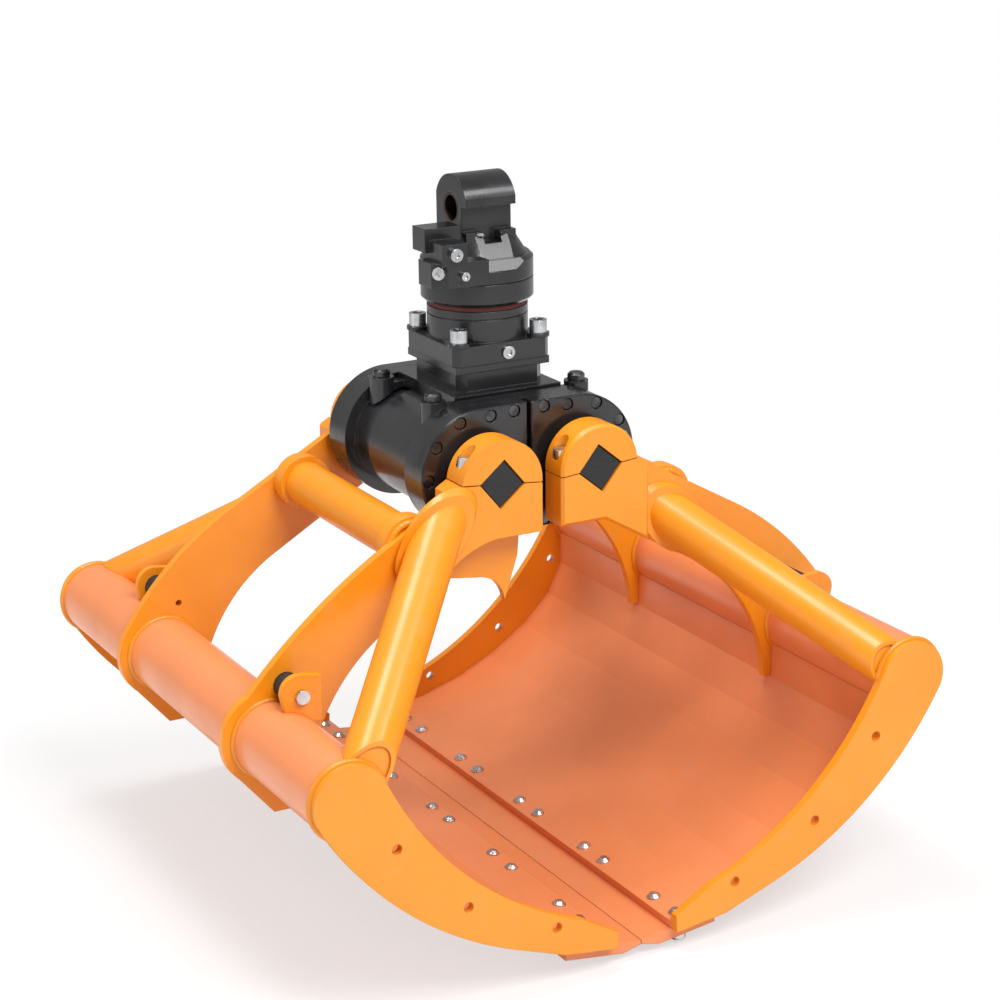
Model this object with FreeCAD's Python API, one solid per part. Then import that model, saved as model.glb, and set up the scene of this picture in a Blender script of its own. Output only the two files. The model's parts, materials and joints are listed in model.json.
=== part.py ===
import FreeCAD, Part
import math
import os

from FreeCAD import Vector

# Hydraulic clamshell bucket that hangs from a crane or excavator arm.
# Two open steel shells are clamped to the square ends of two parallel shafts. Each shaft is
# turned by its own helical drive in one twin-barrelled housing, and a rotator above the
# housing turns the whole bucket about the vertical axis.
#
# X is the opening direction, Y runs along the two drive shafts, Z is up. The modelling
# height zero is the plane of the two shaft axes; every solid is lowered by shaft_drop on
# export, so that the origin is the centre of the crane-pin bore in the lug.
# The right shell (+X) is modelled, and the left shell is the same part turned half a turn
# about Z. Front is the -Y side and rear the +Y side. All values are millimetres.

# ---- main layout ----
shaft_drop = 332.0            # crane-pin bore centre down to the shaft axes
shaft_x = 75.0                # shaft axes from the middle plane

# ---- rotator ----
lug_bore_radius = 17.5
bush_wall = 4.0
lug_half_thickness = 38.0     # along X
lug_half_width = 43.0         # along Y
lug_top_radius = 46.0
lug_pocket_depth = 14.0
lug_pocket_low = 303.0
lug_pocket_high = 337.0
lug_slot_low = 288.0
lug_slot_half = 13.0
flare_height = 34.0
facet_top_z = 298.0           # sloping facets in front of and behind the lug
facet_low_z = 254.0
facet_low_y = 75.0
stator_radius = 77.5
stator_bottom = 205.0
stator_top = 268.0
stator_wall = 14.0
stator_joint_z = 236.0
neck_radius = 48.0
chamber_height = 8.0          # room for the rotator bearing inside the stator
rotor_radius = 69.5
rotor_joint_z = 186.0
joint_line = 1.5              # width and depth of the turned joint lines
rotor_hub_top = 198.0
rotor_flange_half = 74.0
rotor_flange_bottom = 128.0
rotor_flange_thickness = 27.0
flange_bolt_half_pitch = 61.15
flange_bolt_radius = 8.0
flange_bolt_head_radius = 12.0
flange_bolt_head_height = 18.0
flange_boss_radius = 15.5
flange_boss_height = 5.0
bearing_clearance = 0.5
fitting_x = 7.0
fitting_z = 141.0
fitting_radius = 9.0
fitting_height = 3.5

# ---- adapter between rotator and drive ----
adapter_top_half = 72.0
adapter_top_thickness = 10.0
adapter_box_half_x = 66.0
adapter_box_half_y = 70.0
saddle_top = 92.0
saddle_half_y = 86.0
saddle_seat_gap = 0.3
ear_x = 111.0
ear_y = 78.0
ear_radius = 17.0
ear_top = 90.0
ear_bolt_radius = 8.0
ear_bolt_head_radius = 12.0
ear_bolt_head_height = 11.0

# ---- drive ----
barrel_radius = 74.0
barrel_web_half = 30.0         # half height of the web between the barrels
barrel_bore_radius = 58.0
drive_half_length = 145.0
cover_thickness = 25.0
flange_thickness = 28.0
cover_radius = 88.5
cover_flat = 88.5             # flats on the covers above and below the shafts
cover_gap = 3.0               # half the gap between neighbouring covers
groove_depth = 4.0
groove_start = 46.0
cover_bolt_circle = 78.5
cover_bolt_pitch = 34.0
cover_bolt_count = 7
cover_inner_bolt_x = 23.0
cover_inner_bolt_z = 79.0
cover_bolt_radius = 6.0
cover_bolt_head_radius = 7.5
cover_bolt_head_height = 11.0
cover_counterbore_radius = 8.8
cover_counterbore_depth = 13.0

# ---- shafts and pistons ----
shaft_square = 48.0
opening_angle = 65.0          # turn of each shell from closed to open, degrees
closed_tilt = 5.4             # turn of the shaft squares when the bucket is closed, degrees
journal_radius = 36.0
shaft_bush_wall = 5.0
shaft_bush_length = 18.0
shaft_seal_length = 5.0
running_gap = 0.05
shaft_end_gap = 2.0
helix_lead = 240.0
helix_lobes = 4
helix_tip_radius = 44.0
helix_root_radius = 37.5
helix_station = 6.0           # spacing of the sections of the spline
helix_radial_gap = 2.2
helix_flank_gap = 1.4
helix_half_length = 70.0
piston_length = 56.0
piston_side_gap = 0.5
guide_rod_radius = 4.5
guide_rod_gap = 0.4
guide_rod_circle = 51.2

# ---- arms and clamp caps ----
arm_inner_y = 160.0
arm_thickness = 45.0
head_radius = 60.0
head_drop = 74.0
cap_gap = 1.5
head_end = 152.0              # where the thick head casting gives way to the arm plate
head_edge = 4.0               # chamfer round the head casting
arm_plate_thickness = 13.0
collar_radius = 66.0
tongue_tip_z = -366.0
tongue_end_width = 12.0
prong_width = 27.0
prong_tip_z = -391.0
clamp_screw_offset = 46.0
clamp_screw_radius = 7.0
clamp_head_radius = 10.5
clamp_head_height = 14.0
clamp_pocket_radius = 12.0
clamp_pocket_floor = 20.0
stop_web_thickness = 12.0

# ---- tubes ----
tube_x = 421.0
tube_z = -287.0
tube_radius = 50.8
tube_wall = 8.0
cross_tube_x = 205.0
cross_tube_z = -66.0
cross_tube_radius = 31.0
cross_tube_wall = 6.3
cross_collar_radius = 39.0
cross_collar_width = 24.0
brace_radius = 33.0
brace_wall = 5.0
flush_brace_top = (172.0, -50.0)       # where the brace leaves the flush arm plate: x, z
flush_brace_foot = (389.0, 426.0, -252.0)
recessed_brace_top = (202.0, -94.0)
recessed_brace_foot = (384.0, 418.0, -258.0)
saddle_ring_width = 9.0
saddle_ring_height = 9.0

# ---- shell ----
half_width = 450.0
side_plate_thickness = 12.0
sheet_thickness = 12.0
sheet_top_z = -316.0
sheet_flats = ((53.0, 26.0), (54.6, 19.5), (62.9, 11.3), (75.2, 7.7), (67.5, 8.5), (69.0, 9.4))
sheet_lip_flat = 77.0
edge_thickness = 16.0
edge_half_gap = 0.5
edge_overlap = 68.0           # how far the cutting edge runs under the sheet
edge_side_gap = 4.0
edge_bolt_pairs = 5
edge_bolt_pitch = 186.0
edge_bolt_first = 350.0
edge_bolt_spacing = 54.0
edge_bolt_inset = 17.0
button_head_radius = 9.5
button_head_height = 6.0
button_crown_radius = 5.0
button_shank_radius = 6.0
nut_radius = 10.0
nut_height = 9.0
band_hole_radius = 7.0
band_centre_x = 40.0
band_centre_z = -149.0
band_hole_circle = 385.0
band_hole_first = -33.3
band_hole_pitch = -21.1

# ---- rubber buffers above the main tube ----
buffer_x = 396.0
buffer_z = -218.0
buffer_radius = 17.0
buffer_reach = 40.0           # from the outer face of the head to the bracket
buffer_hole_radius = 4.5
bracket_thickness = 10.0
bracket_half_width = 28.0
bracket_top = 28.0

# ---- values that follow from the ones above ----
arm_outer_y = arm_inner_y + arm_thickness
flush_plate = (arm_outer_y - arm_plate_thickness, arm_outer_y)
recessed_plate = (arm_inner_y, arm_inner_y + arm_plate_thickness)
tube_end = half_width - side_plate_thickness
cover_face = drive_half_length
cover_back = drive_half_length - cover_thickness
flange_back = cover_back - flange_thickness
bush_outer_radius = journal_radius + shaft_bush_wall
piston_stroke = helix_lead * opening_angle / 360
rotor_flange_top = rotor_flange_bottom + rotor_flange_thickness
adapter_top_bottom = rotor_flange_bottom - adapter_top_thickness
lug_z = shaft_drop
MIDDLE = Vector(0, 0, 0)
UP = Vector(0, 0, 1)
ALONG_Y = Vector(0, 1, 0)
ALONG_X = Vector(1, 0, 0)


class Outline:
    """Closed outline in the XZ plane, drawn with straight lines and three-point arcs."""

    def __init__(self, x, z):
        self.start = Vector(x, 0, z)
        self.here = self.start
        self.edges = []

    def line(self, x, z):
        there = Vector(x, 0, z)
        self.edges.append(Part.LineSegment(self.here, there).toShape())
        self.here = there
        return self

    def arc(self, mid_x, mid_z, x, z):
        there = Vector(x, 0, z)
        self.edges.append(Part.Arc(self.here, Vector(mid_x, 0, mid_z), there).toShape())
        self.here = there
        return self

    def solid(self, y_low, y_high):
        if (self.here - self.start).Length > 1e-6:
            self.line(self.start.x, self.start.z)
        face = Part.Face(Part.Wire(self.edges))
        solid = face.extrude(Vector(0, y_high - y_low, 0))
        solid.translate(Vector(0, y_low, 0))
        return solid


def rod_y(x, z, radius, y_low, y_high):
    return Part.makeCylinder(radius, y_high - y_low, Vector(x, y_low, z), ALONG_Y)


def rod_z(x, y, radius, z_low, z_high):
    return Part.makeCylinder(radius, z_high - z_low, Vector(x, y, z_low), UP)


def rod_x(y, z, radius, x_low, x_high):
    return Part.makeCylinder(radius, x_high - x_low, Vector(x_low, y, z), ALONG_X)


def ring_y(x, z, outer, inner, y_low, y_high):
    return rod_y(x, z, outer, y_low, y_high).cut(rod_y(x, z, inner, y_low, y_high))


def block(x_low, x_high, y_low, y_high, z_low, z_high):
    return Part.makeBox(x_high - x_low, y_high - y_low, z_high - z_low, Vector(x_low, y_low, z_low))


def fused(solids):
    whole = solids[0].multiFuse(solids[1:]) if len(solids) > 1 else solids[0]
    return whole.removeSplitter()


def mirrored_y(solid):
    return solid.mirror(MIDDLE, ALONG_Y)


def mirrored_x(solid):
    return solid.mirror(MIDDLE, ALONG_X)


def half_turn(solid):
    turned = solid.copy()
    turned.rotate(MIDDLE, UP, 180)
    return turned


def edges_in_plane(solid, y, shortest):
    """Edges that lie in the plane at y and are longer than shortest."""
    found = []
    for edge in solid.Edges:
        box = edge.BoundBox
        flat = abs(box.YMin - y) < 1e-3 and abs(box.YMax - y) < 1e-3
        if flat and edge.Length > shortest:
            found.append(edge)
    return found


def save(name, *solids):
    """Lower the solids to the frame of the crane-pin bore and write one STEP file."""
    placed = []
    for solid in solids:
        for piece in solid.Solids:
            lowered = piece.copy()
            lowered.translate(Vector(0, 0, -shaft_drop))
            placed.append(lowered)
    shape = placed[0] if len(placed) == 1 else Part.makeCompound(placed)
    shape.exportStep("parts/" + name + ".step")


# ---- rotator ----

def facet_cuts():
    """Blocks that cut the sloping facets in front of and behind the lug."""
    slope = math.atan2(facet_low_y - lug_half_width, facet_top_z - facet_low_z)
    reach = 200.0
    cutter = block(-reach, reach, -reach, 0, -reach, reach)
    cutter.rotate(MIDDLE, ALONG_X, -math.degrees(slope))
    cutter.translate(Vector(0, -lug_half_width, facet_top_z))
    cutter = cutter.common(block(-reach, reach, -reach, 0, facet_low_z, facet_top_z))
    return [cutter, mirrored_y(cutter)]


def rotator_lug():
    pad = block(-lug_half_thickness, lug_half_thickness, -lug_half_width, lug_half_width,
                stator_top, lug_z)
    crown = rod_x(0, lug_z, lug_top_radius, -lug_half_thickness, lug_half_thickness)
    sides = block(-lug_half_thickness, lug_half_thickness, -lug_half_width, lug_half_width,
                  stator_top, 2 * lug_z)
    crown = crown.common(sides)
    flare = Part.makeCone(stator_radius - 9, lug_half_width + 4, flare_height, Vector(0, 0, stator_top), UP)
    for cut in facet_cuts():
        flare = flare.cut(cut)
    neck = rod_z(0, 0, neck_radius, stator_bottom + chamber_height, stator_top)
    body = fused([pad, crown, flare, neck])
    front = -lug_half_width
    bar = block(-lug_half_thickness, lug_half_thickness, 2 * front, front + lug_pocket_depth,
                lug_pocket_low, lug_pocket_high)
    stem = block(-lug_slot_half, lug_slot_half, 2 * front, front + lug_pocket_depth,
                 lug_slot_low, lug_pocket_high)
    body = body.cut(bar).cut(stem)
    bore = rod_x(0, lug_z, lug_bore_radius + bush_wall, -stator_radius, stator_radius)
    return body.cut(bore)


def lug_bush():
    outer = rod_x(0, lug_z, lug_bore_radius + bush_wall, -lug_half_thickness, lug_half_thickness)
    return outer.cut(rod_x(0, lug_z, lug_bore_radius, -stator_radius, stator_radius))


def joint_groove(radius, z):
    return rod_z(0, 0, radius + 1, z, z + joint_line).cut(rod_z(0, 0, radius - joint_line, z, z + joint_line))


def rotator_stator():
    shell = rod_z(0, 0, stator_radius, stator_bottom, stator_top)
    rims = [edge for edge in shell.Edges if edge.BoundBox.ZLength < 1e-3]
    shell = shell.makeChamfer(5.0, rims)
    shell = shell.cut(rod_z(0, 0, neck_radius, stator_bottom, stator_top))
    chamber = rod_z(0, 0, stator_radius - stator_wall, stator_bottom, stator_bottom + chamber_height)
    shell = shell.cut(chamber).cut(joint_groove(stator_radius, stator_joint_z))
    for cut in facet_cuts():
        shell = shell.cut(cut)
    return shell


def port_block():
    """Valve block on the stator: a low front part with one corner cut off, and two parts above it."""
    low = block(-104, -26, -84, -30, 240, 274)
    corner = [e for e in low.Edges if e.BoundBox.XMax < -103 and e.BoundBox.YMax < -83]
    low = low.makeChamfer(17.0, corner)
    front = block(-95, -58, -84, -26, 270, 300)
    side = block(-102, -48, -46, -10, 284, 316)
    body = fused([low, front, side])
    keep_out = rod_z(0, 0, stator_radius, stator_bottom, stator_top)
    cone = Part.makeCone(stator_radius - 9, lug_half_width + 4, flare_height, Vector(0, 0, stator_top), UP)
    lug = block(-lug_half_thickness, lug_half_thickness, -lug_half_width, lug_half_width, 252, 400)
    return max(body.cut(keep_out).cut(cone).cut(lug).Solids, key=lambda solid: solid.Volume)


def port_plugs():
    """Screwed plugs on the front face, the corner face and the side of the port block."""
    plugs = []
    for x, z, radius in ((-77, 286, 9.0), (-64, 256, 6.0)):
        plug = rod_y(x, z, radius, -91, -84)
        plugs.append(plug.cut(rod_y(x, z, radius * 0.45, -91, -88)))
    corner = Vector(-95.5, -75.5, 262)
    outward = Vector(-1, -1, 0).normalize()
    plug = Part.makeCylinder(8.5, 7, corner, outward)
    plugs.append(plug.cut(Part.makeCylinder(3.8, 4, corner + outward * 3, outward)))
    return plugs


def dust_seal():
    low = rotor_hub_top + bearing_clearance
    high = stator_bottom - bearing_clearance
    return rod_z(0, 0, rotor_radius - 1, low, high).cut(rod_z(0, 0, rotor_radius - 10, low, high))


def rotor():
    half = rotor_flange_half
    flange = block(-half, half, -half, half, rotor_flange_bottom, rotor_flange_top)
    corners = [e for e in flange.Edges if abs(e.BoundBox.ZLength - rotor_flange_thickness) < 1e-3]
    flange = flange.makeChamfer(9.0, corners)
    pieces = [flange, rod_z(0, 0, rotor_radius, rotor_flange_top, rotor_hub_top)]
    for x in (-flange_bolt_half_pitch, flange_bolt_half_pitch):
        for y in (-flange_bolt_half_pitch, flange_bolt_half_pitch):
            pieces.append(rod_z(x, y, flange_boss_radius, rotor_flange_top,
                                rotor_flange_top + flange_boss_height))
    body = fused(pieces)
    for x in (-flange_bolt_half_pitch, flange_bolt_half_pitch):
        for y in (-flange_bolt_half_pitch, flange_bolt_half_pitch):
            head_room = rotor_flange_top + flange_boss_height
            body = body.cut(rod_z(x, y, flange_bolt_head_radius + 1.0, head_room, rotor_hub_top + 9))
            body = body.cut(rod_z(x, y, flange_bolt_radius, rotor_flange_bottom, head_room))
    return body.cut(joint_groove(rotor_radius, rotor_joint_z))


def rotor_bearing():
    low = rotor_hub_top
    high = stator_bottom + chamber_height - bearing_clearance
    outer = neck_radius + 8
    return rod_z(0, 0, outer, low, high).cut(rod_z(0, 0, neck_radius - 8, low, high))


def flange_bolts():
    bolts = []
    seat = rotor_flange_top + flange_boss_height
    for x in (-flange_bolt_half_pitch, flange_bolt_half_pitch):
        for y in (-flange_bolt_half_pitch, flange_bolt_half_pitch):
            head = rod_z(x, y, flange_bolt_head_radius, seat, seat + flange_bolt_head_height)
            head = head.cut(rod_z(x, y, 7.0, seat + flange_bolt_head_height - 8,
                                  seat + flange_bolt_head_height))
            shank = rod_z(x, y, flange_bolt_radius, adapter_top_bottom + 2, seat)
            bolts.append(fused([head, shank]))
    return bolts


# ---- adapter ----

def adapter_box():
    half = adapter_top_half
    top = block(-half, half, -half, half, adapter_top_bottom, rotor_flange_bottom)
    box = block(-adapter_box_half_x, adapter_box_half_x, -adapter_box_half_y, adapter_box_half_y,
                saddle_top, adapter_top_bottom)
    corners = [e for e in box.Edges if abs(e.BoundBox.ZLength - adapter_top_bottom + saddle_top) < 1e-3]
    box = box.makeChamfer(12.0, corners)
    saddle_low = barrel_web_half + saddle_seat_gap
    saddle = block(-adapter_box_half_x - 16, adapter_box_half_x + 16, -saddle_half_y, saddle_half_y,
                   saddle_low, saddle_top)
    pieces = [top, box, saddle]
    for x in (-ear_x, ear_x):
        for y in (-ear_y, ear_y):
            side = 1 if x > 0 else -1
            pieces.append(rod_z(x, y, ear_radius, saddle_low, ear_top))
            near = adapter_box_half_x - 4
            x_low, x_high = sorted((side * near, side * ear_x))
            web = block(x_low, x_high, y - 12, y + 12, saddle_low, ear_top - 8)
            pieces.append(web)
    body = fused(pieces)
    for x in (-shaft_x, shaft_x):
        body = body.cut(rod_y(x, 0, barrel_radius + saddle_seat_gap, -200, 200))
    for y in (-1, 1):
        y_low, y_high = sorted((y * (flange_back - 0.3), y * 200))
        body = body.cut(block(-400, 400, y_low, y_high, -400, cover_flat + 0.3))
    for x in (-ear_x, ear_x):
        for y in (-ear_y, ear_y):
            body = body.cut(rod_z(x, y, ear_bolt_radius, 0, ear_top))
    for x in (-flange_bolt_half_pitch, flange_bolt_half_pitch):
        for y in (-flange_bolt_half_pitch, flange_bolt_half_pitch):
            body = body.cut(rod_z(x, y, flange_bolt_radius, adapter_top_bottom + 2, rotor_flange_bottom))
    return body


def adapter_bolts():
    bolts = []
    for x in (-ear_x, ear_x):
        for y in (-ear_y, ear_y):
            foot = math.sqrt(barrel_radius ** 2 - (ear_x - shaft_x) ** 2) - 12
            shank = rod_z(x, y, ear_bolt_radius, foot, ear_top)
            head = rod_z(x, y, ear_bolt_head_radius, ear_top, ear_top + ear_bolt_head_height)
            top = ear_top + ear_bolt_head_height
            rim = [e for e in head.Edges if e.BoundBox.ZMin > top - 1e-3]
            bolts.append(fused([shank, head.makeChamfer(3.0, rim)]))
    return bolts


# ---- drive ----

def cover_outline(y_low, y_high):
    """End form of one barrel: a round flange with flats above, below and beside its neighbour."""
    disc = rod_y(shaft_x, 0, cover_radius, y_low, y_high)
    inner_fill = block(cover_gap, shaft_x, y_low, y_high, -cover_flat, cover_flat)
    limit = block(cover_gap, shaft_x + 2 * cover_radius, y_low, y_high, -cover_flat, cover_flat)
    return fused([disc.common(limit), inner_fill])


def cover_bolt_places():
    places = []
    middle = (cover_bolt_count - 1) / 2
    for number in range(cover_bolt_count):
        angle = math.radians((number - middle) * cover_bolt_pitch)
        places.append((shaft_x + cover_bolt_circle * math.cos(angle), cover_bolt_circle * math.sin(angle)))
    places.append((cover_inner_bolt_x, cover_inner_bolt_z))
    places.append((cover_inner_bolt_x, -cover_inner_bolt_z))
    return places


def drive_housing():
    pieces = []
    for x in (-shaft_x, shaft_x):
        pieces.append(rod_y(x, 0, barrel_radius, -flange_back, flange_back))
    pieces.append(block(-shaft_x, shaft_x, -flange_back, flange_back, -barrel_web_half, barrel_web_half))
    for y_low, y_high in ((-cover_back, -flange_back), (flange_back, cover_back)):
        right = cover_outline(y_low, y_high)
        pieces.append(right)
        pieces.append(mirrored_x(right))
        pieces.append(block(-cover_gap, cover_gap, y_low, y_high, -cover_flat, cover_flat))
    body = fused(pieces)
    for x in (-shaft_x, shaft_x):
        groove = ring_y(x, 0, barrel_radius + 1, barrel_radius - groove_depth, groove_start, flange_back - 4)
        keep = block(-shaft_x * 0.45, shaft_x * 0.45, -200, 200, -200, 200)
        body = body.cut(groove.cut(keep))
        body = body.cut(rod_y(x, 0, barrel_bore_radius, -200, 200))
    for x, z in cover_bolt_places():
        for side in (-1, 1):
            body = body.cut(rod_y(side * x, z, cover_bolt_radius, -cover_back, -cover_back + 20))
            body = body.cut(rod_y(side * x, z, cover_bolt_radius, cover_back - 20, cover_back))
    for x in (-ear_x, ear_x):
        for y in (-ear_y, ear_y):
            body = body.cut(rod_z(x, y, ear_bolt_radius, 44, 100))
    return body


def front_right_cover():
    body = cover_outline(-cover_face, -cover_back)
    rim = edges_in_plane(body, -cover_face, 10)
    body = body.makeChamfer(2.0, rim)
    hole = rod_y(shaft_x, 0, bush_outer_radius, -cover_face, -cover_back)
    body = body.cut(hole)
    for x, z in cover_bolt_places():
        body = body.cut(rod_y(x, z, cover_counterbore_radius, -cover_face,
                              -cover_face + cover_counterbore_depth))
        body = body.cut(rod_y(x, z, cover_bolt_radius, -cover_face, -cover_back))
    for x, z in guide_rod_places():
        body = body.cut(rod_y(x, z, guide_rod_radius, -cover_back - 8, -cover_back))
    return body


def cover_bolts():
    bolts = []
    seat = -cover_face + cover_counterbore_depth
    for x, z in cover_bolt_places():
        head = rod_y(x, z, cover_bolt_head_radius, seat - cover_bolt_head_height, seat)
        shank = rod_y(x, z, cover_bolt_radius, seat, -cover_back + 18)
        front = fused([head, shank])
        for bolt in (front, mirrored_x(front)):
            bolts.append(bolt)
            bolts.append(mirrored_y(bolt))
    return bolts


def guide_rod_places():
    places = []
    for angle in (45.0, 225.0):
        turn = math.radians(angle)
        places.append((shaft_x + guide_rod_circle * math.cos(turn), guide_rod_circle * math.sin(turn)))
    return places


def guide_rods():
    rods = []
    for x, z in guide_rod_places():
        rod = rod_y(x, z, guide_rod_radius, -cover_back - 8, cover_back + 8)
        rods.append(rod)
        rods.append(mirrored_x(rod))
    return rods


def lobed_wire(x, y, turn, radial_gap, flank_gap):
    """Cross-section of the helical spline: equal lobes with straight flanks, grown by the two gaps."""
    tip = helix_tip_radius + radial_gap
    root = helix_root_radius + radial_gap
    step = 360.0 / helix_lobes
    widen = math.degrees(flank_gap / helix_tip_radius) / step
    points = []
    for lobe in range(helix_lobes):
        for share, radius in ((-0.30 - widen, root), (-0.20 - widen, tip),
                              (0.20 + widen, tip), (0.30 + widen, root)):
            angle = math.radians(turn + (lobe + share) * step)
            points.append(Vector(x + radius * math.sin(angle), y, radius * math.cos(angle)))
    return points


def planar_cap(points, outward):
    wire = Part.makePolygon(points + points[:1])
    face = Part.Face(wire)
    if face.normalAt(0, 0).dot(outward) < 0:
        face.reverse()
    return face


def helical_core(first, last, radial_gap, flank_gap):
    """Twisted spline about the right shaft axis between two station numbers, with flat facets."""
    rings = []
    for number in range(first, last + 1):
        y = number * helix_station
        rings.append(lobed_wire(shaft_x, y, 360.0 * y / helix_lead, radial_gap, flank_gap))
    faces = [planar_cap(rings[0], Vector(0, -1, 0)), planar_cap(rings[-1], Vector(0, 1, 0))]
    count = len(rings[0])
    for near, far in zip(rings, rings[1:]):
        for corner in range(count):
            after = (corner + 1) % count
            for trio in ((near[corner], near[after], far[after]), (near[corner], far[after], far[corner])):
                faces.append(Part.Face(Part.makePolygon([trio[0], trio[1], trio[2], trio[0]])))
    shell = Part.makeShell(faces)
    solid = Part.Solid(shell)
    if solid.Volume < 0:
        solid.reverse()
    return solid


def right_shaft():
    end = arm_outer_y - shaft_end_gap
    side = shaft_square / 2
    stations = int(helix_half_length / helix_station)
    core_end = stations * helix_station
    journal_end = cover_face + 6
    journals = [
        rod_y(shaft_x, 0, journal_radius, -journal_end, -core_end),
        rod_y(shaft_x, 0, journal_radius, core_end, journal_end),
    ]
    square = block(shaft_x - side, shaft_x + side, -end, end, -side, side)
    square = square.makeChamfer(2.0, edges_in_plane(square, -end, 10) + edges_in_plane(square, end, 10))
    square.rotate(Vector(shaft_x, 0, 0), ALONG_Y, 45 - closed_tilt)
    square = square.cut(block(-400, 400, -journal_end, journal_end, -400, 400))
    core = helical_core(-stations, stations, 0.0, 0.0)
    return fused(journals + [core] + square.Solids)


def right_piston():
    low = -(piston_length + piston_stroke) / 2
    high = low + piston_length
    body = rod_y(shaft_x, 0, barrel_bore_radius - piston_side_gap, low, high)
    first = math.floor(low / helix_station) - 1
    last = math.ceil(high / helix_station) + 1
    body = body.cut(helical_core(first, last, helix_radial_gap, helix_flank_gap))
    for x, z in guide_rod_places():
        body = body.cut(rod_y(x, z, guide_rod_radius + guide_rod_gap, low, high))
    return body


def shaft_bushes():
    bushes = []
    start = cover_face - shaft_seal_length - shaft_bush_length
    bush = ring_y(shaft_x, 0, bush_outer_radius, journal_radius + running_gap, start, start + shaft_bush_length)
    for piece in (bush, mirrored_x(bush)):
        bushes.append(piece)
        bushes.append(mirrored_y(piece))
    return bushes


def shaft_seals():
    seals = []
    seal = ring_y(shaft_x, 0, bush_outer_radius, journal_radius + running_gap,
                  cover_face - shaft_seal_length, cover_face)
    for piece in (seal, mirrored_x(seal)):
        seals.append(piece)
        seals.append(mirrored_y(piece))
    return seals


def drive_fittings():
    """Screwed plugs in the front and rear faces of the rotor flange."""
    half = rotor_flange_half
    plug = rod_y(fitting_x, fitting_z, fitting_radius, -half - fitting_height, -half)
    plug = plug.cut(rod_y(fitting_x, fitting_z, fitting_radius / 2, -half - fitting_height, -half - 1))
    return [plug, half_turn(plug)]


# ---- right shell: arms ----

def collar_point(angle):
    turn = math.radians(angle)
    return tube_x + collar_radius * math.cos(turn), tube_z + collar_radius * math.sin(turn)


def plate_outline(flush, y_low, y_high):
    """Head, curved plate, collar round the main tube, and the two prongs that hold the sheet."""
    split_x, split_z = on_split(head_radius, 0)
    inner_x = shaft_x - head_radius
    sheet_x = sheet_points()[0][0]
    low_collar = collar_point(-50)
    outline = Outline(inner_x, -head_drop)
    outline.line(shaft_x + 8, -head_drop)
    if flush:
        outline.arc(126, -87, 156, -108)
        outline.line(252, -173)
        outline.arc(329, -251, sheet_x - tongue_end_width, tongue_tip_z)
    else:
        outline.line(139, -107)
        outline.line(242, -166)
        outline.arc(325, -240, sheet_x - tongue_end_width, tongue_tip_z)
    outline.line(sheet_x, tongue_tip_z)
    outline.line(sheet_x, sheet_top_z)
    outline.line(sheet_x + sheet_thickness, sheet_top_z)
    outline.line(sheet_x + sheet_thickness, prong_tip_z)
    outline.line(sheet_x + sheet_thickness + prong_width, prong_tip_z)
    outline.line(*low_collar)
    if flush:
        outline.arc(*collar_point(8), *collar_point(66))
        outline.arc(350, -133, 233, -53)
    else:
        outline.arc(*collar_point(-12), *collar_point(26))
        outline.arc(404, -162, 310, -93)
    outline.line(split_x, split_z)
    outline.arc(shaft_x, head_radius, inner_x, 0)
    return outline.solid(y_low, y_high)


def arm_profile(flush, y_low, y_high):
    """Thick head casting with chamfered edges, and the thinner plate that runs on from it."""
    side = 1 if y_high > 0 else -1
    plate_y = flush_plate if flush else recessed_plate
    plate = plate_outline(flush, *sorted((side * plate_y[0], side * plate_y[1])))
    head = plate_outline(flush, y_low, y_high).common(block(0, head_end, -500, 500, -500, 500))
    outer = side * arm_outer_y
    head = head.makeChamfer(head_edge, edges_in_plane(head, outer, 20))
    return fused([head, plate])


def split_slab(y_low, y_high, z_low, z_high):
    """Block about the right shaft axis, turned with the clamp split."""
    reach = head_radius + 30
    slab = block(shaft_x - reach, shaft_x + reach, y_low, y_high, z_low, z_high)
    slab.rotate(Vector(shaft_x, 0, 0), ALONG_Y, -closed_tilt)
    return slab


def shaft_square_hole(y_low, y_high):
    side = shaft_square / 2
    hole = block(shaft_x - side, shaft_x + side, y_low, y_high, -side, side)
    hole.rotate(Vector(shaft_x, 0, 0), ALONG_Y, 45 - closed_tilt)
    return hole


def on_split(offset, height):
    """Point beside the right shaft axis, measured along and above the clamp split."""
    tilt = math.radians(closed_tilt)
    x = shaft_x + offset * math.cos(tilt) - height * math.sin(tilt)
    z = offset * math.sin(tilt) + height * math.cos(tilt)
    return x, z


def split_rod(offset, y, radius, low, high):
    """Cylinder square to the clamp split."""
    x_low, z_low = on_split(offset, low)
    x_high, z_high = on_split(offset, high)
    start = Vector(x_low, y, z_low)
    return Part.makeCylinder(radius, high - low, start, Vector(x_high - x_low, 0, z_high - z_low))


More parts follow.
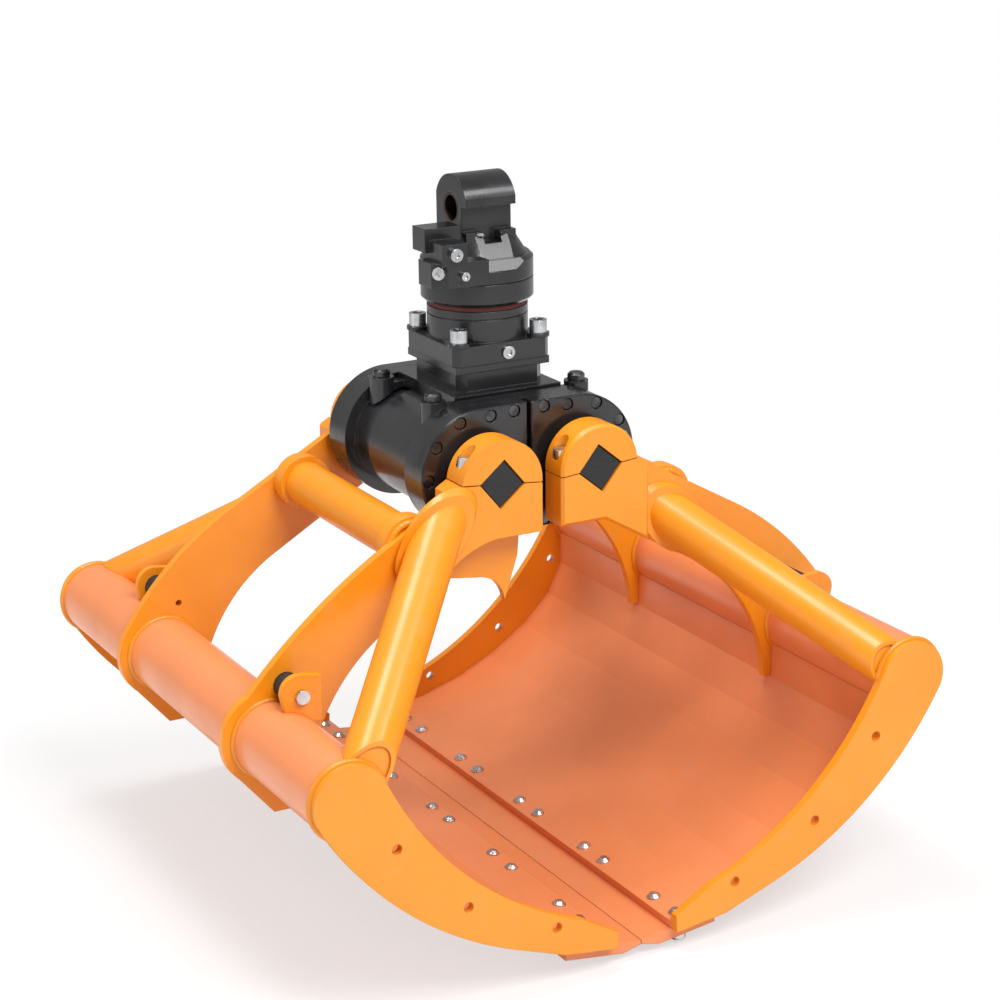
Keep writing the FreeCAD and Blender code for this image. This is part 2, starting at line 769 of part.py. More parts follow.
def arm_and_cap(side):
    """Arm and clamp cap at one end of the right shell; side is -1 at the front, 1 at the rear."""
    y_low, y_high = sorted((side * arm_inner_y, side * arm_outer_y))
    middle = (y_low + y_high) / 2
    whole = arm_profile(side == 1, y_low, y_high).cut(shaft_square_hole(y_low, y_high))
    upper = split_slab(y_low - 1, y_high + 1, cap_gap / 2, 2 * head_radius)
    lower = split_slab(y_low - 1, y_high + 1, -cap_gap / 2, 2 * head_radius)
    cap = whole.common(upper)
    arm = whole.cut(lower)
    for offset in (-clamp_screw_offset, clamp_screw_offset):
        cap = cap.cut(split_rod(offset, middle, clamp_screw_radius, 0, head_radius))
        cap = cap.cut(split_rod(offset, middle, clamp_pocket_radius, clamp_pocket_floor, 2 * head_radius))
        arm = arm.cut(split_rod(offset, middle, clamp_screw_radius, -40, 0))
    arm = arm.cut(rod_y(tube_x, tube_z, tube_radius, y_low, y_high))
    arm = arm.cut(rod_y(buffer_x, buffer_z, buffer_hole_radius, y_low, y_high))
    arm = arm.cut(sheet_solid())
    solids = sorted(arm.Solids, key=lambda solid: solid.Volume)
    caps = sorted(cap.Solids, key=lambda solid: solid.Volume)
    return solids[-1], caps[-1]


def clamp_bolts():
    bolts = []
    for y in (-arm_inner_y - arm_thickness / 2, arm_inner_y + arm_thickness / 2):
        for offset in (-clamp_screw_offset, clamp_screw_offset):
            head = split_rod(offset, y, clamp_head_radius, clamp_pocket_floor,
                             clamp_pocket_floor + clamp_head_height)
            shank = split_rod(offset, y, clamp_screw_radius, -38, clamp_pocket_floor)
            bolts.append(fused([head, shank]))
    return bolts


def stop_web(rear_arm):
    """Welded plate under the rear head that meets the drive's stop when the bucket closes."""
    outline = Outline(32, -head_drop + 12)
    outline.line(36, -112)
    outline.line(56, -174)
    outline.arc(68, -148, 97, -135)
    outline.line(182, -123)
    outline.line(182, -100)
    outline.line(114, -60)
    plate = outline.solid(arm_inner_y, arm_inner_y + stop_web_thickness)
    return max(plate.cut(rear_arm).Solids, key=lambda solid: solid.Volume)


# ---- right shell: tubes ----

def main_tube():
    return ring_y(tube_x, tube_z, tube_radius, tube_radius - tube_wall, -tube_end, tube_end)


def cross_tube():
    """Tube between the two arm plates, with a stepped collar against each plate."""
    front = -recessed_plate[0]
    rear = flush_plate[0]
    pieces = [rod_y(cross_tube_x, cross_tube_z, cross_tube_radius, front, rear)]
    for start in (front, rear - cross_collar_width):
        pieces.append(rod_y(cross_tube_x, cross_tube_z, cross_collar_radius, start, start + cross_collar_width))
    inside = cross_tube_radius - cross_tube_wall
    return fused(pieces).cut(rod_y(cross_tube_x, cross_tube_z, inside, front, rear))


def brace(arm, face_y, top_place, foot_place):
    """Tube from an arm plate out to the end of the main tube, with a saddle ring on the plate."""
    top = Vector(top_place[0], face_y, top_place[1])
    foot = Vector(*foot_place)
    direction = foot.sub(top)
    start = top.sub(direction * 0.3)
    length = direction.Length * 1.6
    outer = Part.makeCylinder(brace_radius, length, start, direction)
    inner = Part.makeCylinder(brace_radius - brace_wall, length, start, direction)
    ring = Part.makeCylinder(brace_radius + saddle_ring_width, length, start, direction)
    reach = 2000
    ring = ring.common(block(-reach, reach, face_y, face_y + saddle_ring_height, -reach, reach))
    band = block(-reach, reach, face_y, tube_end, -reach, reach)
    body = fused([outer.common(band), ring]).cut(inner)
    body = body.cut(rod_y(tube_x, tube_z, tube_radius, -half_width, half_width))
    body = body.cut(arm)
    return max(body.Solids, key=lambda solid: solid.Volume)


# ---- right shell: sheet, side plates, cutting edge ----

def sheet_points():
    """Inner corners of the press-braked sheet, from the main tube down to the lip."""
    x = tube_x - math.sqrt(tube_radius ** 2 - (sheet_top_z - tube_z) ** 2)
    z = sheet_top_z
    points = [(x, z)]
    heading = -90.0
    for length, turn in sheet_flats:
        x += length * math.cos(math.radians(heading))
        z += length * math.sin(math.radians(heading))
        points.append((x, z))
        heading -= turn
    x += sheet_lip_flat * math.cos(math.radians(heading))
    z += sheet_lip_flat * math.sin(math.radians(heading))
    points.append((x, z))
    return points


def offset_points(points, distance):
    """Corners of a bent line moved sideways by distance, to the outside of the bends."""
    headings = []
    for (x0, z0), (x1, z1) in zip(points, points[1:]):
        headings.append(math.atan2(z1 - z0, x1 - x0))
    moved = []
    for number, (x, z) in enumerate(points):
        before = headings[max(0, number - 1)]
        after = headings[min(number, len(headings) - 1)]
        middle = (before + after) / 2
        stretch = distance / math.cos((after - before) / 2)
        moved.append((x - stretch * math.sin(middle), z + stretch * math.cos(middle)))
    return moved


def sheet_solid():
    inner = sheet_points()
    outer = offset_points(inner, sheet_thickness)
    outline = Outline(*inner[0])
    for x, z in inner[1:]:
        outline.line(x, z)
    for x, z in reversed(outer):
        outline.line(x, z)
    body = outline.solid(-tube_end, tube_end)
    return body.cut(rod_y(tube_x, tube_z, tube_radius, -half_width, half_width))


def lip_frame():
    """Corner, direction along the last flat towards the lip, and downward normal."""
    corner, lip = sheet_points()[-2:]
    length = math.hypot(lip[0] - corner[0], lip[1] - corner[1])
    along = ((lip[0] - corner[0]) / length, (lip[1] - corner[1]) / length)
    down = (-along[1], along[0])
    return lip, along, down


def cutting_edge():
    lip, along, down = lip_frame()
    under = (lip[0] + down[0] * sheet_thickness, lip[1] + down[1] * sheet_thickness)
    reach = (under[0] - edge_half_gap) / -along[0]
    tip = (under[0] + along[0] * reach, under[1] + along[1] * reach)
    heel = (under[0] - along[0] * edge_overlap, under[1] - along[1] * edge_overlap)
    outline = Outline(*heel)
    outline.line(*tip)
    outline.line(tip[0], tip[1] - 6)
    outline.line(tip[0] - along[0] * 26 + down[0] * edge_thickness * 0.62,
                 tip[1] - along[1] * 26 + down[1] * edge_thickness)
    outline.line(heel[0] + down[0] * edge_thickness, heel[1] + down[1] * edge_thickness)
    return outline.solid(-tube_end + edge_side_gap, tube_end - edge_side_gap)


def edge_bolt_rows():
    rows = []
    for number in range(edge_bolt_pairs):
        middle = edge_bolt_first - number * edge_bolt_pitch
        rows.append(middle - edge_bolt_spacing / 2)
        rows.append(middle + edge_bolt_spacing / 2)
    return rows


def edge_bolt_axis():
    lip, along, down = lip_frame()
    x = lip[0] - along[0] * edge_bolt_inset
    z = lip[1] - along[1] * edge_bolt_inset
    return (x, z), Vector(down[0], 0, down[1])


def button_bolt(seat, direction, grip):
    """Round-headed bolt with its nut; seat is the point under the head."""
    rim = button_head_height / 3
    head = Part.makeCylinder(button_head_radius, rim, seat, direction * -1)
    crown = Part.makeCone(button_head_radius, button_crown_radius, button_head_height - rim,
                          seat - direction * rim, direction * -1)
    shank = Part.makeCylinder(button_shank_radius, grip + nut_height + 2, seat, direction)
    nut = Part.makeCylinder(nut_radius, nut_height, seat + direction * grip, direction)
    return fused([head, crown, shank, nut])


def drilled_for_edge(body):
    (x, z), direction = edge_bolt_axis()
    for y in edge_bolt_rows():
        start = Vector(x, y, z) - direction * 30
        body = body.cut(Part.makeCylinder(button_shank_radius, 100, start, direction))
    return body


def button_bolts():
    """Cutting-edge bolts and the two buffer bolts, all of one size."""
    bolts = []
    (x, z), direction = edge_bolt_axis()
    for y in edge_bolt_rows():
        bolts.append(button_bolt(Vector(x, y, z), direction, sheet_thickness + edge_thickness))
    for side in (-1, 1):
        start, stop = buffer_span(side)
        outer = stop + side * bracket_thickness
        head = Part.makeCylinder(button_head_radius, button_head_height,
                                 Vector(buffer_x, outer, buffer_z), Vector(0, side, 0))
        shank = Part.makeCylinder(button_shank_radius, abs(outer - start),
                                  Vector(buffer_x, outer, buffer_z), Vector(0, -side, 0))
        bolts.append(fused([head, shank]))
    return bolts


def rear_side_plate():
    sheet_out = offset_points(sheet_points(), sheet_thickness)
    lip = sheet_points()[-1]
    rim_start = (tube_x - 44.4, tube_z + 24.6)
    tail = math.radians(-22)
    tail_x = tube_x + tube_radius * math.cos(tail)
    tail_z = tube_z + tube_radius * math.sin(tail)
    outline = Outline(*rim_start)
    outline.arc(tube_x, tube_z + tube_radius, tail_x, tail_z)
    outline.arc(385, -417, 188, -541)
    outline.line(*sheet_out[-2])
    outline.line(*sheet_out[-1])
    outline.line(lip[0], lip[1] + 12)
    outline.line(100, -519)
    outline.arc(299, -383, *rim_start)
    plate = outline.solid(tube_end, half_width)
    for number in range(3):
        angle = math.radians(band_hole_first + number * band_hole_pitch)
        x = band_centre_x + band_hole_circle * math.cos(angle)
        z = band_centre_z + band_hole_circle * math.sin(angle)
        plate = plate.cut(rod_y(x, z, band_hole_radius, tube_end, half_width))
    return plate


# ---- right shell: buffers ----

def buffer_brackets():
    brackets = []
    for side in (-1, 1):
        near = arm_outer_y + buffer_reach
        y_low, y_high = sorted((side * near, side * (near + bracket_thickness)))
        outline = Outline(buffer_x + bracket_half_width * 0.8, tube_z + tube_radius - 6)
        outline.line(buffer_x + bracket_half_width, buffer_z + 4)
        outline.arc(buffer_x + 16, buffer_z + 25, buffer_x - 4, buffer_z + bracket_top)
        outline.line(buffer_x - bracket_half_width, buffer_z + bracket_top - 4)
        outline.line(buffer_x - bracket_half_width, tube_z + 30)
        plate = outline.solid(y_low, y_high)
        plate = plate.cut(rod_y(tube_x, tube_z, tube_radius, -half_width, half_width))
        plate = plate.cut(rod_y(buffer_x, buffer_z, button_shank_radius, -half_width, half_width))
        brackets.append(max(plate.Solids, key=lambda solid: solid.Volume))
    return brackets


def buffer_span(side):
    """Where a buffer starts on its arm plate, and where it ends on its bracket."""
    plate_y = flush_plate[1] if side == 1 else recessed_plate[1]
    return side * plate_y, side * (arm_outer_y + buffer_reach)


def buffers():
    pucks = []
    for side in (-1, 1):
        y_low, y_high = sorted(buffer_span(side))
        pucks.append(ring_y(buffer_x, buffer_z, buffer_radius, button_shank_radius, y_low, y_high))
    return pucks


# ---- export ----

def export_fixed_parts():
    save("rotator_lug", rotator_lug())
    save("lug_bush", lug_bush())
    save("rotator_stator", rotator_stator())
    save("port_block", port_block())
    save("port_plugs", *port_plugs())
    save("dust_seal", dust_seal())
    save("rotor", rotor())
    save("rotor_bearing", rotor_bearing())
    save("flange_bolts", *flange_bolts())
    save("adapter_box", adapter_box())
    save("adapter_bolts", *adapter_bolts())
    save("drive_housing", drive_housing())
    cover = front_right_cover()
    save("front_right_cover", cover)
    save("front_left_cover", mirrored_x(cover))
    save("rear_right_cover", mirrored_y(cover))
    save("rear_left_cover", mirrored_x(mirrored_y(cover)))
    save("cover_bolts", *cover_bolts())
    save("guide_rods", *guide_rods())
    save("shaft_bushes", *shaft_bushes())
    save("shaft_seals", *shaft_seals())
    save("drive_fittings", *drive_fittings())
    piston = right_piston()
    save("right_piston", piston)
    save("left_piston", half_turn(piston))


def export_shells():
    rear_arm, rear_cap = arm_and_cap(1)
    front_arm, front_cap = arm_and_cap(-1)
    rear_brace = brace(rear_arm, flush_plate[1], flush_brace_top, flush_brace_foot)
    front_brace = mirrored_y(brace(mirrored_y(front_arm), recessed_plate[1],
                                   recessed_brace_top, recessed_brace_foot))
    plate = rear_side_plate()
    shell = {
        "shaft": [right_shaft()],
        "front_arm": [front_arm],
        "rear_arm": [rear_arm],
        "front_cap": [front_cap],
        "rear_cap": [rear_cap],
        "clamp_bolts": clamp_bolts(),
        "stop_web": [stop_web(rear_arm)],
        "main_tube": [main_tube()],
        "cross_tube": [cross_tube()],
        "front_brace": [front_brace],
        "rear_brace": [rear_brace],
        "front_side_plate": [mirrored_y(plate)],
        "rear_side_plate": [plate],
        "shell_sheet": [drilled_for_edge(sheet_solid())],
        "cutting_edge": [drilled_for_edge(cutting_edge())],
        "button_bolts": button_bolts(),
        "buffer_brackets": buffer_brackets(),
        "buffers": buffers(),
    }
    swapped = {"front": "rear", "rear": "front"}
    for name, solids in shell.items():
        save("right_" + name, *solids)
        end = name.split("_")[0]
        left_name = name.replace(end, swapped[end], 1) if end in swapped else name
        save("left_" + left_name, *[half_turn(solid) for solid in solids])


os.makedirs("parts", exist_ok=True)
export_fixed_parts()
export_shells()
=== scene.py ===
"""Looks of the hydraulic clamshell bucket: paint, bare metal, rubber, weld beads, light and camera.

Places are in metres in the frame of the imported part: X is the opening direction, Y runs along
the two drive shafts, Z is up, and the origin is the centre of the crane-pin bore.
"""

import json
import math

import bpy
import numpy as np
from mathutils import Matrix, Vector


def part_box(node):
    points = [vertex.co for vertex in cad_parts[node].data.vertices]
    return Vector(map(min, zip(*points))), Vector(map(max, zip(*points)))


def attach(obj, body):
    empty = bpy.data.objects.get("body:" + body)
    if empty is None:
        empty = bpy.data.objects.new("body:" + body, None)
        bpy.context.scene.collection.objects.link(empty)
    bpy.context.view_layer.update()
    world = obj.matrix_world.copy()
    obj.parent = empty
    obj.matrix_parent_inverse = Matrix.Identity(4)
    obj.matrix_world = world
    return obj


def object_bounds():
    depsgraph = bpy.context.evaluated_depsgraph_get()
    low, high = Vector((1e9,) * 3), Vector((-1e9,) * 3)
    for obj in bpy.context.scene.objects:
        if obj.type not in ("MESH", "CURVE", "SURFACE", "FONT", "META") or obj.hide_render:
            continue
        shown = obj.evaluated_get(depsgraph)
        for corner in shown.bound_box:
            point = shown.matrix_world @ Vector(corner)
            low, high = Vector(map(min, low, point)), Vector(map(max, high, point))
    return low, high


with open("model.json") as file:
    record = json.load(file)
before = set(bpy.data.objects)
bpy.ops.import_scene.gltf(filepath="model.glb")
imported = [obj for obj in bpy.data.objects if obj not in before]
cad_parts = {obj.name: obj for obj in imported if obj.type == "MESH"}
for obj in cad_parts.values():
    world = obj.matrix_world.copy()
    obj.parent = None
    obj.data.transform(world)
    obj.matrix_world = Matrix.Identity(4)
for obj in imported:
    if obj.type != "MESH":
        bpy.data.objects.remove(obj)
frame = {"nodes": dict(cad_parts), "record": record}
size_at_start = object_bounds()
nodes = frame["nodes"]

# ---- places in the part: the lowest point and the side plate read from its meshes, the rest given ----
LOWEST = size_at_start[0].z
SHAFT_HEIGHT = -0.332
TUBE_X = 0.421
TUBE_Z = SHAFT_HEIGHT - 0.287
TUBE_RADIUS = 0.0508
CROSS_TUBE_X = 0.205
CROSS_TUBE_Z = SHAFT_HEIGHT - 0.066
CROSS_TUBE_RADIUS = 0.031
FLUSH_PLATE = (0.192, 0.205)          # inner and outer face of the flush arm plate
RECESSED_PLATE = (0.160, 0.173)
SIDE_PLATE_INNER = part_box("right_main_tube")[1].y


# ---- shader tools ----

class Wire:
    """A value that varies over a surface. Sums and products of wires add Math nodes."""

    def __init__(self, paint, socket):
        self.paint = paint
        self.socket = socket

    def math(self, operation, first, second):
        return self.paint.node("ShaderNodeMath", {"operation": operation}, {0: first, 1: second})

    def __add__(self, other):
        return self.math("ADD", self, other)

    def __radd__(self, other):
        return self.math("ADD", other, self)

    def __mul__(self, other):
        return self.math("MULTIPLY", self, other)

    def __rmul__(self, other):
        return self.math("MULTIPLY", other, self)


class Paint:
    """One material: its node tree, its principled shader, and the place on the object."""

    def __init__(self, name):
        self.material = bpy.data.materials.new(name)
        self.material.use_nodes = True
        self.tree = self.material.node_tree
        self.tree.nodes.clear()
        self.shader = self.tree.nodes.new("ShaderNodeBsdfPrincipled")
        self.output = self.tree.nodes.new("ShaderNodeOutputMaterial")
        self.tree.links.new(self.shader.outputs["BSDF"], self.output.inputs["Surface"])
        self.place = self.node("ShaderNodeTexCoord", {}, {}, "Object")

    def node(self, kind, settings, values, output=0):
        """Add one node: its settings first, then a number or a wire for each named socket."""
        made = self.tree.nodes.new(kind)
        for name, value in settings.items():
            setattr(made, name, value)
        for name, value in values.items():
            self.join(made.inputs[name], value)
        return Wire(self, made.outputs[output])

    def join(self, socket, value):
        if isinstance(value, Wire):
            self.tree.links.new(value.socket, socket)
        else:
            socket.default_value = value

    def noise(self, scale, detail=3.0, stretch=(1.0, 1.0, 1.0)):
        """Cloudy pattern from 0 to 1, with scale features to the metre."""
        place = self.node("ShaderNodeMapping", {}, {"Vector": self.place, "Scale": stretch})
        return self.node("ShaderNodeTexNoise", {}, {"Vector": place, "Scale": scale, "Detail": detail})

    def step(self, value, low, high):
        """0 below low and 1 above high, with a smooth change between them."""
        return self.node("ShaderNodeMapRange", {"interpolation_type": "SMOOTHSTEP"},
                         {"Value": value, "From Min": low, "From Max": high})

    def mix(self, factor, first, second):
        """Colour between first and second."""
        return self.node("ShaderNodeMix", {"data_type": "RGBA"}, {0: factor, 6: first, 7: second}, 2)

    def finish(self, colour, roughness, metallic=0.0, coat=0.0, bump=None, bump_height=0.0, edge=0.0):
        """Feed the shader. edge is the radius to which corners look rounded, in metres."""
        self.join(self.shader.inputs["Base Color"], colour)
        self.join(self.shader.inputs["Roughness"], roughness)
        self.join(self.shader.inputs["Metallic"], metallic)
        self.join(self.shader.inputs["Coat Weight"], coat)
        self.shader.inputs["Coat Roughness"].default_value = 0.12
        normal = None
        if edge:
            normal = self.node("ShaderNodeBevel", {"samples": 4}, {"Radius": edge})
        if bump is not None:
            values = {"Height": bump, "Distance": bump_height, "Strength": 1.0}
            if normal is not None:
                values["Normal"] = normal
            normal = self.node("ShaderNodeBump", {}, values)
        if normal is not None:
            self.join(self.shader.inputs["Normal"], normal)
        return self.material


def shade(colour, amount):
    """colour made darker or brighter by a factor."""
    return tuple(channel * amount for channel in colour[:3]) + (1.0,)


# ---- materials ----

def steel_paint(name, colour, dull):
    """Glossy machine enamel with a faint orange peel, a little dust and paler, rubbed patches."""
    paint = Paint(name)
    clouds = paint.step(paint.noise(7.0, 4.0), 0.38, 0.66)
    dust = paint.step(paint.noise(38.0, 6.0), 0.52, 0.78)
    colour_wire = paint.mix(clouds * 0.5, colour, shade(colour, 0.88))
    colour_wire = paint.mix(dust * 0.10, colour_wire, dull)
    peel = paint.noise(420.0, 2.0)
    rough = 0.34 + 0.10 * clouds + 0.08 * dust
    return paint.finish(colour_wire, rough, 0.0, 0.18, peel, 0.00012, 0.0018)


def black_casting():
    """Black paint on a fine cast skin."""
    paint = Paint("black_casting")
    grain = paint.noise(700.0, 2.0)
    clouds = paint.step(paint.noise(11.0, 3.0), 0.4, 0.7)
    colour = paint.mix(clouds, (0.010, 0.010, 0.011, 1), (0.019, 0.019, 0.021, 1))
    return paint.finish(colour, 0.20 + 0.16 * clouds, 0.0, 0.35, grain, 0.00010, 0.0022)


def plain_metal(name, dark, bright, rough, metallic, edge):
    """Bare or plated metal, with a cloudy change of tone and roughness."""
    paint = Paint(name)
    clouds = paint.step(paint.noise(60.0, 4.0), 0.35, 0.7)
    colour = paint.mix(clouds, dark, bright)
    return paint.finish(colour, rough + 0.10 * clouds, metallic, 0.0, None, 0.0, edge)


def milled_steel():
    """Dark oiled steel with fine marks across it."""
    paint = Paint("shaft_steel")
    marks = paint.noise(90.0, 2.0, (1.0, 1.0, 22.0))
    colour = paint.mix(marks, (0.022, 0.022, 0.024, 1), (0.055, 0.055, 0.058, 1))
    return paint.finish(colour, 0.34 + 0.14 * marks, 0.7, 0.0, marks, 0.00006, 0.0015)


def rubber(name, colour):
    paint = Paint(name)
    grain = paint.noise(240.0, 3.0)
    return paint.finish(paint.mix(grain, colour, shade(colour, 1.6)), 0.62 + 0.12 * grain, 0.0, 0.0,
                        grain, 0.00012, 0.0012)


ORANGE = (0.84, 0.282, 0.006, 1)
# Painted sheen: the orange enamel with the pale pink reflection of its glossy faces put into the base
# colour.
PAINTED_SHEEN_ORANGE = (0.79, 0.252, 0.090, 1)
DUST = (0.50, 0.36, 0.20, 1)

MATERIALS = {
    "orange_paint": steel_paint("orange_paint", ORANGE, DUST),
    # salmon_paint is the orange enamel with painted sheen in its base colour, not a second paint.
    "salmon_paint": steel_paint("salmon_paint", PAINTED_SHEEN_ORANGE, DUST),
    "black_casting": black_casting(),
    "black_bolt": plain_metal("black_bolt", (0.05, 0.05, 0.053, 1),
                              (0.13, 0.13, 0.135, 1), 0.24, 0.85, 0.001),
    "zinc_fitting": plain_metal("zinc_fitting", (0.52, 0.53, 0.54, 1),
                                (0.74, 0.75, 0.76, 1), 0.24, 1.0, 0.001),
    "shaft_steel": milled_steel(),
    "bearing_steel": plain_metal("bearing_steel", (0.48, 0.48, 0.49, 1),
                                 (0.62, 0.62, 0.63, 1), 0.18, 1.0, 0.0),
    "bush_bronze": plain_metal("bush_bronze", (0.060, 0.045, 0.034, 1),
                               (0.120, 0.088, 0.060, 1), 0.36, 1.0, 0.0008),
    "seal_rubber": rubber("seal_rubber", (0.075, 0.009, 0.006, 1)),
    "buffer_rubber": rubber("buffer_rubber", (0.011, 0.011, 0.012, 1)),
}
weld_paint = steel_paint("weld_paint", shade(ORANGE, 0.92), DUST)


def dress_nodes():
    """Give each CAD node the material of the slot that the record names for it."""
    for entry in frame["record"]["subparts"]:
        mesh = nodes[entry["node"]].data
        mesh.materials.clear()
        mesh.materials.append(MATERIALS[entry["material_slot"]])


# ---- weld beads ----

BEAD = 0.0042
RIPPLE = 0.0006
RIPPLE_PITCH = 0.006
AROUND = 160
SECTION = 10


def weld_ring(name, body, x, y, z, radius):
    """Ripple-topped weld bead round a tube that lies along Y.

    At angle a round the tube and t round the bead's section, with r = BEAD + RIPPLE |sin(n a / 2)|,
    the point is (x + (R + r cos t) cos a, y + r sin t, z + (R + r cos t) sin a).
    """
    ripples = round(2 * math.pi * radius / RIPPLE_PITCH)
    a = np.linspace(0, 2 * np.pi, AROUND, endpoint=False)[:, None]
    t = np.linspace(0, 2 * np.pi, SECTION, endpoint=False)[None, :]
    r = BEAD + RIPPLE * np.abs(np.sin(ripples * a / 2))
    reach = radius + r * np.cos(t)
    points = np.stack([x + reach * np.cos(a), y + r * np.sin(t), z + reach * np.sin(a)], axis=-1)
    surface_piece(name, body, points, True, weld_paint)


def surface_piece(name, body, points, ring, material):
    """Smooth surface through a grid of points whose rows close on themselves.

    ring says whether the last row joins the first as well.
    """
    rows, columns = points.shape[:2]
    row = np.arange(rows if ring else rows - 1)[:, None]
    column = np.arange(columns)[None, :]
    next_row = (row + 1) % rows
    next_column = (column + 1) % columns
    corners = [row * columns + column, next_row * columns + column,
               next_row * columns + next_column, row * columns + next_column]
    faces = np.stack([corner.ravel() for corner in corners], axis=-1)
    mesh = bpy.data.meshes.new(name)
    mesh.from_pydata(points.reshape(-1, 3).tolist(), [], faces.tolist())
    mesh.polygons.foreach_set("use_smooth", [True] * len(faces))
    mesh.materials.append(material)
    piece = bpy.data.objects.new(name, mesh)
    bpy.context.scene.collection.objects.link(piece)
    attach(piece, body)


def plate_faces(sign):
    """The Y of each arm-plate face: sign is 1 for the right shell and -1 for the left."""
    return {"flush_inner": sign * FLUSH_PLATE[0], "flush_outer": sign * FLUSH_PLATE[1],
            "recessed_inner": -sign * RECESSED_PLATE[0], "recessed_outer": -sign * RECESSED_PLATE[1]}


def weld_beads():
    for sign, side in ((1, "right"), (-1, "left")):
        body = side + "_shell"
        faces = plate_faces(sign)
        for face, y in faces.items():
            weld_ring(f"{side}_{face}_bead", body, sign * TUBE_X, y, TUBE_Z, TUBE_RADIUS)
        for face in ("flush_inner", "recessed_inner"):
            weld_ring(f"{side}_{face}_cross_bead", body, sign * CROSS_TUBE_X, faces[face],
                      CROSS_TUBE_Z, CROSS_TUBE_RADIUS)
        for end, y in (("front", -SIDE_PLATE_INNER), ("rear", SIDE_PLATE_INNER)):
            weld_ring(f"{side}_{end}_plate_bead", body, sign * TUBE_X, y, TUBE_Z, TUBE_RADIUS)


# ---- closed ends of the braces ----

BRACE_RADIUS = 0.033
FLUSH_BRACE = ((0.172, 0.205, -0.050), (0.389, 0.426, -0.252))
RECESSED_BRACE = ((0.202, 0.173, -0.094), (0.384, 0.418, -0.258))
END_DOME = 0.003
END_INSET = 0.0035             # rim of the end plate, short of the side plate
END_CENTRE = 0.001            # smallest share of the radius, so that no face is a point
END_AROUND = 64
END_RINGS = 8


def brace_end(name, body, sign, flip, brace):
    """Welded plate over the foot of a brace: the brace's section at the side plate, slightly domed.

    The brace's section at y is an ellipse. At angle a and share s of the radius its point is
    c + s R (u cos a + v sin a), slid along the brace to y, with y = end + dome (1 - s^2).
    flip is 1 at the rear end of the shell and -1 at the front.
    """
    top, foot = (np.array([sign * x, flip * y, z + SHAFT_HEIGHT]) for x, y, z in brace)
    along = (foot - top) / np.linalg.norm(foot - top)
    u = np.cross(along, (0, 1, 0))
    u /= np.linalg.norm(u)
    v = np.cross(along, u)
    a = np.linspace(0, 2 * np.pi, END_AROUND, endpoint=False)[None, :, None]
    s = np.linspace(END_CENTRE, 1, END_RINGS)[:, None, None]
    points = foot + s * BRACE_RADIUS * (np.cos(a) * u + np.sin(a) * v)
    level = flip * (SIDE_PLATE_INNER - END_INSET + END_DOME * (1 - s[..., 0] ** 2))
    points = points + along * ((level - points[..., 1]) / along[1])[..., None]
    surface_piece(name, body, points, False, MATERIALS["orange_paint"])


def brace_ends():
    for sign, side in ((1, "right"), (-1, "left")):
        body = side + "_shell"
        brace_end(side + "_flush_brace_end", body, sign, sign, FLUSH_BRACE)
        brace_end(side + "_recessed_brace_end", body, sign, -sign, RECESSED_BRACE)


# ---- floor, light and camera ----

def pale_floor():
    """Pale floor just under the lips, which fades to plain white away from the bucket."""
    reach = 40.0
    mesh = bpy.data.meshes.new("floor")
    mesh.from_pydata([(-reach, -reach, 0), (reach, -reach, 0), (reach, reach, 0), (-reach, reach, 0)],
                     [], [(0, 1, 2, 3)])
    floor = bpy.data.objects.new("floor", mesh)
    floor.location = (0, 0, LOWEST - 0.003)
    bpy.context.scene.collection.objects.link(floor)
    paint = Paint("pale_floor")
    paint.finish((0.86, 0.86, 0.86, 1), 0.9)
    away = paint.node("ShaderNodeVectorMath", {"operation": "LENGTH"}, {0: paint.place}, "Value")
    white = paint.tree.nodes.new("ShaderNodeEmission")
    white.inputs["Color"].default_value = (1, 1, 1, 1)
    seen = paint.node("ShaderNodeLightPath", {}, {}, "Is Camera Ray")
    pale = 0.62 + 0.38 * paint.step(away, 0.7, 2.0)
    blend = paint.node("ShaderNodeMixShader", {}, {0: seen * pale})
    mixer = blend.socket.node
    paint.tree.links.new(paint.shader.outputs["BSDF"], mixer.inputs[1])
    paint.tree.links.new(white.outputs["Emission"], mixer.inputs[2])
    paint.tree.links.new(blend.socket, paint.output.inputs["Surface"])
    mesh.materials.append(paint.material)


def lamp(name, place, target, power, size):
    light = bpy.data.lights.new(name, "AREA")
    light.energy = power
    light.size = size
    holder = bpy.data.objects.new(name, light)
    holder.location = place
    holder.rotation_euler = (Vector(target) - Vector(place)).to_track_quat("-Z", "Y").to_euler()
    bpy.context.scene.collection.objects.link(holder)


AMBIENT = 0.36


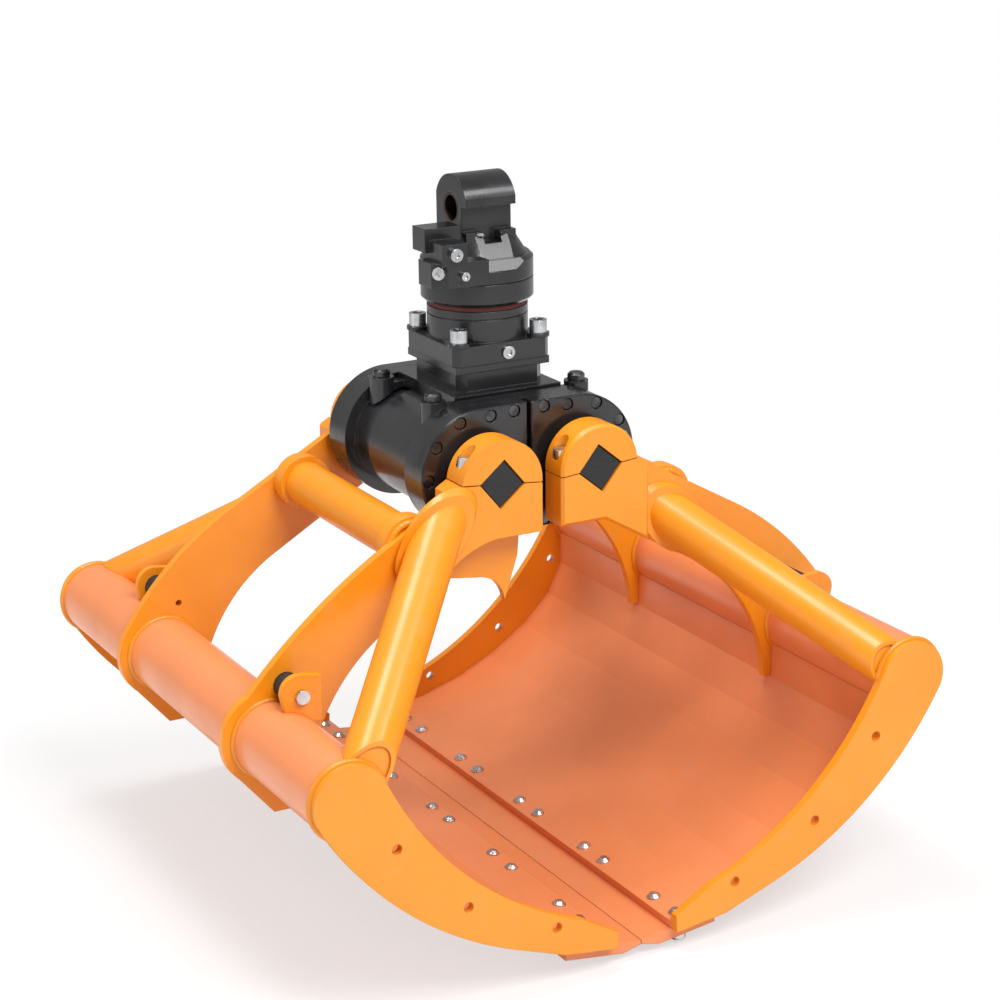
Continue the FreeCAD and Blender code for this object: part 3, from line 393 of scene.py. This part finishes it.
def soft_light():
    """Even ambient light that looks plain white where the camera sees it, and four soft lamps."""
    world = bpy.data.worlds.new("studio")
    world.use_nodes = True
    tree = world.node_tree
    back = tree.nodes["Background"]
    back.inputs["Color"].default_value = (1, 1, 1, 1)
    seen = tree.nodes.new("ShaderNodeLightPath")
    strength = tree.nodes.new("ShaderNodeMapRange")
    tree.links.new(seen.outputs["Is Camera Ray"], strength.inputs["Value"])
    strength.inputs["To Min"].default_value = AMBIENT
    strength.inputs["To Max"].default_value = 1.0
    tree.links.new(strength.outputs["Result"], back.inputs["Strength"])
    bpy.context.scene.world = world
    middle = (0, 0, -0.5)
    lamp("key", (0.2, -3.0, 3.0), middle, 175, 2.2)
    lamp("facet", (1.75, -2.1, 2.75), (0, 0, -0.1), 20, 0.9)
    lamp("top", (-0.6, 0.6, 3.2), middle, 80, 1.4)
    lamp("left", (-3.6, 0.4, 0.9), middle, 34, 1.6)


CAMERA_PLACE = (-1.63773, -3.08272, 0.65150)
CAMERA_AZIMUTH = -28.436
CAMERA_ELEVATION = 17.058
CAMERA_ROLL = -0.737
LENS = 93.58
SENSOR = 36.0


def main_camera():
    """Camera that looks down on the bucket from the front left."""
    turn = math.radians(CAMERA_AZIMUTH)
    rise = math.radians(CAMERA_ELEVATION)
    roll = math.radians(CAMERA_ROLL)
    back = Vector((math.sin(turn) * math.cos(rise), -math.cos(turn) * math.cos(rise), math.sin(rise)))
    level = Vector((math.cos(turn), math.sin(turn), 0))
    upright = back.cross(level)
    right = level * math.cos(roll) + upright * math.sin(roll)
    above = upright * math.cos(roll) - level * math.sin(roll)
    lens = bpy.data.cameras.new("camera")
    lens.lens = LENS
    lens.sensor_width = SENSOR
    camera = bpy.data.objects.new("camera", lens)
    turned = Matrix((right, above, back)).transposed().to_4x4()
    camera.matrix_world = Matrix.Translation(CAMERA_PLACE) @ turned
    bpy.context.scene.collection.objects.link(camera)
    bpy.context.scene.camera = camera


dress_nodes()
weld_beads()
brace_ends()
pale_floor()
soft_light()
main_camera()
bpy.context.scene.view_settings.view_transform = "Standard"
